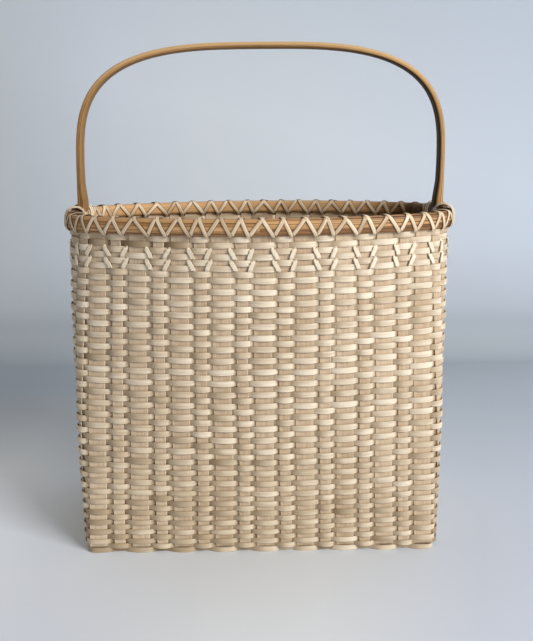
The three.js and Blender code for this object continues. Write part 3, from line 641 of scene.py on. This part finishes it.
across_cells, along_cells = cells_between(across, across_width), cells_between(along, along_width)
for kind, node, run, row, row_widths, here, there, over, cells in (
        ("cross_stake", "front_to_back_stake", (0, -1), along, along_width, 0, 2, 0, across_cells),
        ("long_stake", "end_to_end_stake", (1, 0), across, across_width, 1, 3, 1, along_cells)):
    for i, (distance, width) in enumerate(zip(row, row_widths)):
        turn = distance / base_quarter
        mesh = stake(f"{kind}_{i + 1:02d}", run, distance, width, here + turn, there - turn, i + over, cells)
        add_piece(mesh, stake_splint, "stake_splint", f"{node}_{i + 1:02d}")
print(STAKES_ALONG + STAKES_ACROSS, "stakes made")

# %% [markdown]
# ## The twist courses
# Under the rim, two courses carry an extra thin strand. It lies behind a wide stake at the upper row and behind a
# narrow one at the lower row, and comes out between them, so that each gap shows a small raised slant.

# %% Twist strands
STRAND_WIDTH = 4.3 * MM
STRAND_STEPS = 5


def smooth_through(controls, steps):
    """A closed smooth curve through control rows: each stretch is the cubic that its four nearest rows set."""
    t = (np.arange(steps) / steps)[None, :, None]
    p0, p1, p2, p3 = (np.roll(controls, shift, 0)[:, None] for shift in (1, 0, -1, -2))
    curve = p1 + 0.5 * t * (p2 - p0) + t ** 2 * (p0 - 2.5 * p1 + 2 * p2 - 0.5 * p3)
    curve = curve + t ** 3 * (1.5 * (p1 - p2) + 0.5 * (p3 - p0))
    return curve.reshape(-1, controls.shape[1])


def twist_strand(name, upper_row):
    """The strand's middle line, given for each gap by eight places of turn, height and distance out, then smoothed.
    Painted shadow darkens one long side of it, and the tone's share is moved over to say which; a raised tone paints
    it paler as a painted highlight."""
    high, low = row_tops[upper_row:upper_row + 2] - row_heights[upper_row:upper_row + 2] / 2
    wide = widths == WIDE
    here, there = np.where(wide, high, low), np.where(np.roll(wide, -1), high, low)
    rise = np.sign(here - there) * 1.2 * MM
    left, right = turns + edge, next_turn - next_edge
    span = right - left
    behind = 5.72 * MM * per_length
    rows = [
        (left - behind, here, -1.4 * MM), (left + 0.17 * span, here + rise * 1.36, -1.0 * MM),
        (left + 0.2 * span, here + rise * 1.1, 2.1 * MM), (left + 0.4 * span, here * 0.66 + there * 0.34, 2.3 * MM),
        (left + 0.6 * span, here * 0.34 + there * 0.66, 2.3 * MM), (left + 0.8 * span, there - rise * 1.1, 2.1 * MM),
        (right - 0.17 * span, there - rise * 1.36, -1.0 * MM), (right + behind, there, -1.4 * MM)]
    controls = np.stack([np.stack(np.broadcast_arrays(*row), -1) for row in rows], 1).reshape(-1, 3)
    controls[:, 0] -= np.arange(len(controls)) * 4 / len(controls)
    path = smooth_through(controls, STRAND_STEPS)
    path[:, 0] += np.arange(len(path)) * 4 / len(path)
    point, normal = wall(path[:, 0], path[:, 1], path[:, 2])
    tangent = unit(np.roll(point, -1, 0) - np.roll(point, 1, 0))
    across_dir = unit(np.cross(tangent, normal))
    section = (STRAND_WIDTH, WEAVER_THICKNESS, 0.15 * MM)
    # painted shadow along one long side
    painted_shadow_side = np.repeat(np.sign(here - there), len(rows) * STRAND_STEPS)[:, None]
    # tone 0.5 paints the strand paler as a painted highlight
    return ribbon(name, point, path_length(point, ring=True), across_dir, np.cross(across_dir, tangent), section,
                  upper_row, 0.5, 1.05 * ACROSS + 0.09 * painted_shadow_side)


for level, upper_row in (("upper", 2), ("lower", 4)):
    strand = twist_strand(f"twist_strand_{level}", upper_row)
    add_piece(strand, weaver_splint, "weaver_splint", f"twist_course_{level}")
print("2 twist strands made")

# %% [markdown]
# ## The rim hoops
# Both hoops are half-round: flat against the stakes and rounded on the side that shows. The section is carried
# round the plan of the rim; the inner hoop's plan is shorter, because the handle's legs stand between it and the ends.

# %% Hoops
CLAMP = 1.0 * MM
LEG_OUTSIDE = RIM_HALF[0] - CLAMP - 2.6 * MM
OUTER_THICK, OUTER_HEIGHT, INNER_THICK, INNER_HEIGHT = 5 * MM, 16 * MM, 5 * MM, 12.6 * MM
RIM_MIDDLE = RIM_TOP - OUTER_HEIGHT / 2
HOOP_STEPS = 420
rim_plan = (*RIM_HALF, RIM_RADIUS, RIM_SWELL)
inner_a, inner_b, inner_r = LEG_OUTSIDE - 4.3 * MM, RIM_HALF[1] - CLAMP, RIM_RADIUS - CLAMP - 0.3 * MM
inner_swell = math.asin((inner_a - inner_r) / (arcs_of(rim_plan)[0] - CLAMP - inner_r))
inner_plan = (inner_a, inner_b, inner_r, inner_swell)


def half_round(thickness, height, count=15):
    """A D: the flat side at 0, the rounded side a superellipse of the given thickness and height."""
    angle = np.linspace(-math.pi / 2, math.pi / 2, count)
    out = thickness * np.cos(angle).clip(0) ** 0.62
    up = height / 2 * np.sign(np.sin(angle)) * np.abs(np.sin(angle)) ** 0.72
    return out, up


def hoop(name, plan, start, side, thickness, height, seed):
    """The section set on the plan at equal steps, from start outside it: out along the normal, and up. Slow waves vary
    its thickness by a few hundredths. Painted shade darkens the low edge; an inner hoop is paler, and painted shade
    darkens it at the right."""
    out, up = half_round(thickness, height)
    share = np.arange(HOOP_STEPS + 1) / HOOP_STEPS
    point, normal = (np.pad(v, ((0, 0), (0, 1))) for v in round_plan(plan, share[:-1] * 4, start))
    turn = share[:-1] * 2 * math.pi
    shave = 1 + 0.03 * np.sin(5 * turn + seed) + 0.02 * np.sin(13 * turn + 2 * seed)
    points = point[:, None] + side * (out * shave[:, None])[..., None] * normal[:, None]
    points[..., 2] += RIM_TOP - height / 2 + up
    around = path_length(np.stack([out, up], -1), ring=True)
    uv = grid_uv(share * 4 * quarter(plan) + seed, around + seed)
    # painted shade on the low edge
    painted_low_edge_shade = -0.16 * np.clip(-up / height * 2 - 0.35, 0, 1)
    # an inner hoop is paler, and painted shade darkens its right end
    inside = (side < 0) * (0.6 - 1.4 * np.clip((points[..., 0] - 0.11) / 0.06, 0, 1))
    return surface(name, points, uv, ring=True, sharp=50, tone=painted_low_edge_shade + inside)


outer = hoop("outer_hoop", rim_plan, CLAMP, 1, OUTER_THICK, OUTER_HEIGHT, 0.3)
add_piece(outer, rim_wood, "rim_wood", "outer_rim")
inner = hoop("inner_hoop", inner_plan, 0, -1, INNER_THICK, INNER_HEIGHT, 1.7)
add_piece(inner, rim_wood, "rim_wood", "inner_rim")
print("2 hoops made")

# %% [markdown]
# ## The lashing
# Two runs of thin splint wrap both hoops, one to the right and one to the left, and pass through every gap under
# them. A wrap's profile is the outline of the hoops a strip's thickness away; while the strip goes round it, the
# turn moves on from one gap to the next. Where the runs cross, at the top and in the gaps, the second lies outside.

# %% Lashing
def outside_plan(plan, x, y):
    """How far outside a plan a point is: its distance from the centre of the arc that faces it, less the radius."""
    a, b, r, swell = plan
    radius, end = arcs_of(plan)
    x, y = np.abs(x), np.abs(y)
    deep = y + radius - b
    corner = np.where(y > end, np.hypot(x - a + r, y - end) - r, x - a)
    return np.where(np.arctan2(x, deep) < swell, np.hypot(x, deep) - radius, corner)


def inward_to_inner(turn):
    """How far straight inwards the inner hoop's outer face is: steps by the distance to its plan."""
    point, normal = wall(turn, RIM_TOP, stray=False)
    depth = np.zeros_like(turn)
    for _ in range(12):
        depth += outside_plan(inner_plan, point[:, 0] - depth * normal[:, 0], point[:, 1] - depth * normal[:, 1])
    return depth


WRAP_STEPS, LOOP_STEPS = 22, 60
LASHING_WIDTH, LASHING_OFF, LASHING_LAYER = 4.5 * MM, 0.45 * MM, 0.75 * MM
CREST_FROM, CREST_TO = 0.86, 1.14  # shares of a wrap, which is 2 long, where it passes from hoop to hoop
CLIMBED = 0.93  # how much of the turn up to the top is made before that
LOOP_WIDTH, LOOP_HEAP, LOOP_SKEW = 3.0 * MM, 4.4 * MM, 4.5 * MM
LOOP_PLACES = np.array([-27, -23.6, -20.2, -16.8, -13.4, 13.4, 16.8, 20.2]) * MM
profile_out, profile_up = half_round(OUTER_THICK, OUTER_HEIGHT, 40)
profile_in, profile_in_up = half_round(INNER_THICK, INNER_HEIGHT, 40)
profile_in_up = profile_in_up + (OUTER_HEIGHT - INNER_HEIGHT) / 2


def offset_profile(out, up, distance):
    """A profile moved away from itself along its own normals."""
    along_out, along_up = np.gradient(out), np.gradient(up)
    size = np.hypot(along_out, along_up)
    return out + along_up / size * distance, up - along_out / size * distance


def wrap_profile(distance):
    """Where the strip goes, up the outer hoop and then down the inner one: distances out of each hoop's flat side, and
    heights from the middle of the rim."""
    out, up = offset_profile(profile_out, profile_up, distance)
    inside, inside_up = offset_profile(profile_in, profile_in_up, distance)
    keep, keep_in = out > 2.2 * MM, inside > 1.6 * MM
    return out[keep], up[keep], inside[keep_in][::-1], inside_up[keep_in][::-1]


def lashing(name, direction, first_wrap, end_wrap, extra):
    """One length of a run: its middle line for all wraps at once, with a section set on it. A wrap climbs from a gap
    to the top of a stake, and goes down to the next gap; beside the handle it goes straighter."""
    wraps = np.arange(first_wrap, end_wrap)
    station = wraps if direction > 0 else len(turns) - 1 - wraps
    start, end = (cut[station] for cut in (cell_start, gaps)[::direction])
    at_handle = np.isclose(np.mod(turns[station], 2), 1)
    by_handle = at_handle | np.isclose(np.mod(turns[(station - direction) % len(turns)], 2), 1)
    aside = np.where(at_handle, direction * 14.0 * MM, 0)
    aside = aside + np.where(by_handle, 0, 1.1 * MM * rng.normal(size=len(wraps)).clip(-1.6, 1.6))
    top = turns[station] + aside * per_length[station]
    out, up, inside, inside_up = wrap_profile(LASHING_OFF)
    outer_share, inner_share = np.linspace(0, CREST_FROM, len(out)), np.linspace(CREST_TO, 2, len(inside))

    def on_hoops(share, outer, inner):
        return np.where(share < 1, np.interp(share, outer_share, outer), np.interp(share, inner_share, inner))

    share = np.arange(WRAP_STEPS) / WRAP_STEPS * 2
    shares = np.append(np.tile(share, len(wraps)), 2.0)
    straight = np.interp(share, [0, 0.3, 0.75, CREST_FROM, CREST_TO, 1.25, 1.7, 2], [0, 0.3, 0.85, 1, 1, 1.15, 1.7, 2])
    rise = on_hoops(share, up, inside_up)
    climb = (rise - up[0]) / (up[-1] - up[0]) * CLIMBED
    climb = np.where(share < 1, climb, 2 - (rise - inside_up[-1]) / (inside_up[0] - inside_up[-1]) * CLIMBED)
    on_crest = np.interp(share, [CREST_FROM, CREST_TO], [CLIMBED, 2 - CLIMBED])
    climb = np.where((share > CREST_FROM) & (share < CREST_TO), on_crest, climb)
    way = np.where(by_handle[:, None], straight, climb)
    to_top, from_top = start[:, None] + (top - start)[:, None] * way, top[:, None] + (end - top)[:, None] * (way - 1)
    turn = np.append(np.where(way < 1, to_top, from_top), end[-1])
    turn = turn + top_drift(turn) * per_length[0]
    depth = inward_to_inner(turn)
    outside = shares < 1
    reach = on_hoops(shares, out, inside)
    reach = np.where(outside, reach + CLAMP, -depth - reach)
    crest = (shares > CREST_FROM) & (shares < CREST_TO)
    blend = np.clip((shares - CREST_FROM) / (CREST_TO - CREST_FROM), 0, 1)
    reach = np.where(crest, (out[-1] + CLAMP) * (1 - blend) - (depth + inside[0]) * blend, reach)
    z = np.where(crest, up[-1] * (1 - blend) + inside_up[0] * blend, on_hoops(shares, up, inside_up))
    foot, normal = wall(turn, RIM_TOP, stray=False)
    point = foot + reach[:, None] * normal
    point[:, 2] = z + RIM_MIDDLE
    away = point - foot - np.where(outside, 3.0 * MM, -depth - 2 * MM)[:, None] * normal
    away[:, 2] = z
    tangent = unit(np.gradient(point, axis=0))
    level = np.stack([-normal[:, 1], normal[:, 0], np.zeros(len(turn))], -1) * direction
    across_dir = unit(np.cross(turned_to(np.cross(tangent, level), away), tangent))
    facing = turned_to(unit(np.cross(tangent, across_dir)), away)
    lift = np.append(np.tile(np.cos(share * math.pi) ** 8, len(wraps)), 1.0) * extra
    point = point + lift[:, None] * facing
    # painted shade on the tops of the back wraps, where the runs cross, and on the insides at the right end; then a
    # tone of each wrap's own, by chance
    tone = -1.3 * (np.cos(math.pi / 2 * turn) < 0) * (np.abs(shares - 0.98) < 0.16)
    tone = tone - 1.2 * (shares > 1.05) * np.clip((point[:, 0] - 0.115) / 0.05, 0, 1)
    tone = tone + np.append(np.repeat(0.22 * rng.normal(size=len(wraps)), WRAP_STEPS), 0)
    section = (LASHING_WIDTH, 0.55 * MM, 0.32 * MM)
    return ribbon(name, point, path_length(point), across_dir, facing, section, direction * 3 + first_wrap * 0.13, tone)


def packed_loop(turn, distance, skew):
    """One closed turn of splint round both hoops at one place beside the handle: the two profiles joined, and heaped
    over the top by a parabola. The strip's middle sways along the rim by skew times the cosine of its share."""
    out, up, inside, inside_up = wrap_profile(distance)
    depth = inward_to_inner(np.array([turn]))[0]
    outline = np.stack([np.append(out + CLAMP, -depth - inside), np.append(up, inside_up)], -1)
    way = path_length(outline, ring=True)
    place = np.arange(LOOP_STEPS + 1) / LOOP_STEPS * way[-1]
    reach, z = (np.interp(place[:-1], way, np.append(v, v[0])) for v in outline.T)
    middle, half = (reach.max() + reach.min()) / 2, (reach.max() - reach.min()) / 2
    heap = LOOP_HEAP * np.clip(z / (OUTER_HEIGHT / 2), 0, 1) * (1 - ((reach - middle) / half) ** 2)
    z = z + RIM_MIDDLE + heap
    point, normal = wall(np.array([turn]), RIM_TOP, stray=False)
    level = np.stack([-normal[:, 1], normal[:, 0], [0.0]], -1)
    run_out, run_up = (np.roll(v, -1) - np.roll(v, 1) for v in (reach, z))
    facing = unit(run_up[:, None] * normal - run_out[:, None] * np.array([0, 0, 1.0]))
    sway = skew * np.cos(place[:-1] / way[-1] * 2 * math.pi)
    path = point + reach[:, None] * normal + sway[:, None] * level
    path[:, 2] = z
    # tone 0.75 paints the loops paler, as a painted highlight
    return ribbon("loop", path, place + turn, level, facing, (LOOP_WIDTH, 0.6 * MM, 0.45 * MM), turn, 0.75)


wraps = len(turns) // 3
for run, direction, extra, length_at_handle, handle_turn in (
        ("rightward", 1, 0.0, 1, 1), ("leftward", -1, LASHING_LAYER, 0, 3)):
    for k in range(3):
        mesh = lashing(f"lashing_{run}_{k + 1}", direction, k * wraps, (k + 1) * wraps, extra)
        if k == length_at_handle:
            side = 2 - handle_turn
            at = handle_turn + LOOP_PLACES * side * per_length[STAKES_ALONG]
            loops = [packed_loop(t, (0.8 + 0.3 * (i % 2)) * MM, -LOOP_SKEW * side) for i, t in enumerate(at)]
            mesh = joined(mesh.name, [mesh, *loops])
        add_piece(mesh, lashing_splint, "lashing_splint", f"rim_lashing_{run}_{k + 1}")
print("6 lengths of lashing made")

# %% [markdown]
# ## The handle
# The handle is one shaved bar: flat inside, rounded outside. Its legs stand straight, thicken into a shoulder just
# above the rim, are notched for the inner hoop and end in a thin tail inside the wall. The bow is a superellipse,
# which keeps the shoulders of the arch full.

# %% Handle
ARCH_POWER = 3.15


def handle_line():
    """The outer face of the right half, from its tail up to the middle of the bow: x, height, thickness and width. The
    bow is the superellipse (x / a)^p + (z / b)^p = 1 above the foot."""
    foot = RIM_TOP + 44 * MM
    levels = np.array([-95, -80, -62, -31, -4, -0.35, -0.3, 0.6, 0.75, 6.4, 16.2, 16.4, 20, 26, 34, 44, 60]) * MM
    levels += RIM_BOTTOM
    thick = np.array([1.6, 2.6, 3.5, 5.5, 8.8, 8.8, 8.8, 8.8, 4, 4, 4, 10.2, 10.2, 9.8, 8.6, 7.2, 6.8]) * MM
    wide = np.array([8, 10.4, 11, 11, 11, 11, 11, 12, 12.2, 19, 19, 19, 19, 19, 19, 19, 19]) * MM
    z_leg = np.unique(np.concatenate([levels, np.linspace(levels[0], levels[-1], 70)]))
    line = np.minimum(LEG_OUTSIDE, plan_at(z_leg)[0] - CLAMP - 0.3 * MM)
    angle = np.linspace(0, math.pi / 2, 90)[1:]
    x_bow = LEG_OUTSIDE * np.cos(angle).clip(0) ** (2 / ARCH_POWER)
    z_bow = foot + (HANDLE_TOP - foot) * np.sin(angle) ** (2 / ARCH_POWER)
    x, z = np.concatenate([line, x_bow]), np.concatenate([z_leg, z_bow])
    return x, z, np.interp(z, levels, thick), np.interp(z, levels, wide)


def handle_mesh():
    """The whole bar: the half line and its mirror image, with a section on each place that is nearly flat inside and
    rounded outside. Painted shade darkens its inside, more to the right, and a painted highlight makes its crown paler."""
    x, z, thick, wide = (np.concatenate([v, sign * v[-2::-1]]) for v, sign in zip(handle_line(), (-1, 1, 1, 1)))
    tangent = np.stack([np.gradient(x), np.gradient(z)], -1)
    leg = z < RIM_TOP + 40 * MM
    tangent[leg] = [0, 1]
    tangent[leg & (x < 0)] = [0, -1]
    tangent = unit(tangent)
    normal = np.stack([tangent[:, 1], -tangent[:, 0]], -1)
    angle = np.linspace(0, 2 * math.pi, 25)[:-1]
    across_share = 0.5 * np.sign(np.sin(angle)) * np.abs(np.sin(angle)) ** 0.7
    facing_out = np.cos(angle)
    rounded, flat = 0.45 * (1 - np.abs(facing_out) ** 0.8), 0.45 + 0.55 * np.abs(facing_out) ** 0.45
    depth_share = np.where(facing_out > 0, rounded, flat)
    points = np.zeros((len(x), len(angle), 3))
    points[..., 0] = x[:, None] - normal[:, :1] * depth_share * thick[:, None]
    points[..., 0] += 0.8 * MM + 2.4 * MM * np.clip((z[:, None] - RIM_TOP) / (HANDLE_TOP - RIM_TOP), 0, 1)
    points[..., 1] = across_share * wide[:, None]
    points[..., 2] = z[:, None] - normal[:, 1:] * depth_share * thick[:, None]
    uv = grid_uv(path_length(np.stack([x, z], -1)), np.linspace(0, 50 * MM, len(angle) + 1))
    # painted shade on the inside, deeper to the right, and a painted highlight on the crown
    inner = np.clip((depth_share - 0.55) / 0.3, 0, 1)
    dark = np.interp(points[..., 0], np.array([-130, -60, 50, 130]) * MM, [0.36, 0.42, 0.6, 0.9])
    crown = 0.45 * (1 - inner) * np.clip((z[:, None] - RIM_TOP - 0.1) / 0.05, 0, 1)
    return surface("bow_handle", points, uv, sharp=50, tone=crown - inner * dark)


add_piece(handle_mesh(), handle_wood, "handle_wood", "handle")
print("handle made")

# %% [markdown]
# ## Floor and backdrop
# The basket stands on a pale sweep: a floor that curves up into a wall behind. The paper shows only on the side that
# faces the basket, so that the basket can be looked at from behind too.

# %% Floor and backdrop
def sweep():
    """A floor that turns up into a wall: a quarter circle joins the two."""
    radius, wall_at = 0.06, 0.62
    bend = np.linspace(0, math.pi / 2, 24)
    y = np.concatenate([[-3.5, -1.0, 0.3], wall_at - radius * (1 - np.sin(bend)), [wall_at, wall_at]])
    z = np.concatenate([[0, 0, 0], radius * (1 - np.cos(bend)), [1.0, 4.0]])
    x = np.array([-5.0, 5.0])
    points = np.stack(np.broadcast_arrays(x[None], y[:, None], z[:, None]), -1)
    n = len(y)
    i = np.arange(n - 1) * 2
    mesh = bpy.data.meshes.new("sweep")
    mesh.from_pydata(points.reshape(-1, 3).tolist(), [], np.stack([i, i + 1, i + 3, i + 2], -1).tolist())
    mesh.polygons.foreach_set("use_smooth", np.ones(n - 1, bool))
    return mesh


def painted_paper():
    """Matt paper: a cool wall, a paler floor that greys towards the wall as painted shade, and faint clouds of tone.
    Painted shade darkens the sides, the foot of the wall and its top, and painted light makes the left of the wall
    paler. As painted light the floor glows faintly in the shadow at the left, and the back side is clear."""
    material, shader, start = new_material("paper")
    place = start.node("ShaderNodeTexCoord", output=3)
    sideways, depth, height = (start.node("ShaderNodeSeparateXYZ", {0: place}, output=k) for k in range(3))
    clouds = start.node("ShaderNodeTexNoise", {"Vector": place, "Scale": 2.2, "Detail": 1.0})
    ahead = start.node("ShaderNodeMath", {0: depth + 0.9, 1: 0.4}, operation="MAXIMUM")
    left = sideways * -1.0
    aside = (abs(sideways) * ahead ** -1.0).ramp(0.07, 0.27)
    # painted shade: the paper darker towards the sides
    near = aside.mix(colour(232, 236, 241), colour(212, 218, 231))
    # painted shade: the floor greys towards the wall
    floor = (depth + clouds * 0.1).ramp(-0.22, 0.6).mix(near, colour(166, 175, 184))
    middle = aside.mix(colour(216, 223, 231), colour(206, 215, 228))
    # painted shade: the wall darker at its foot
    upright = (height + clouds * 0.1).ramp(0.02, 0.26).mix(colour(175, 184, 193), middle)
    # painted shade: the wall darker towards the top, starting lower at the right
    upright = (height + sideways * 0.25).ramp(0.42, 0.8).mix(upright, colour(180, 190, 201))
    # painted light: the left of the wall paler
    upright = left.ramp(0.25, 0.5).mix(upright, colour(196, 202, 208))
    toned = height.ramp(0.0, 0.09).mix(floor, upright)
    # painted light: the floor glows faintly in the shadow at the left
    lift = left.ramp(0.06, 0.3) * (1 - depth.ramp(0.12, 0.45)) * (depth.ramp(-0.27, -0.14) * 0.4 + 0.6)
    lift = lift.mix((0, 0, 0, 1), (0.18, 0.17, 0.145, 1))
    back_side, clear = start.node("ShaderNodeNewGeometry", output=6), start.node("ShaderNodeBsdfTransparent")
    paper = Wire(start.tree, shader.outputs[0])
    either = start.node("ShaderNodeMixShader", {0: back_side, 1: paper, 2: clear})
    end = start.tree.nodes["Material Output"].inputs["Surface"]
    for wire, socket in ((toned, shader.inputs["Base Color"]), (lift, shader.inputs["Emission Color"]), (either, end)):
        start.tree.links.new(wire.socket, socket)
    shader.inputs["Emission Strength"].default_value = 1.0
    shader.inputs["Roughness"].default_value = 0.9
    return material


backdrop = add_object("sweep", sweep())
backdrop.data.materials.append(painted_paper())

# %% [markdown]
# One wide square lamp from the right and front gives soft-edged shadows, and an even pale world fills them.

# %% Lamp and world
light = bpy.data.lights.new("key", "AREA")
light.shape, light.size, light.energy, light.color = "SQUARE", 1.9, 148, (1.0, 0.985, 0.96)
lamp, lamp_place = add_object("key", light), np.array([2.5, -2.23, 2.1])
x, y, z = np.array([0, 0, 0.2]) - lamp_place
lamp.location = lamp_place
lamp.rotation_euler = (math.atan2(math.hypot(x, y), -z), 0, math.atan2(y, x) - math.pi / 2)
world = bpy.data.worlds.new("world")
bpy.context.scene.world = world
world.use_nodes = True
background = world.node_tree.nodes["Background"].inputs
background["Color"].default_value, background["Strength"].default_value = (1.0, 0.97, 0.93, 1), 0.22
print("stage and lamp ready")
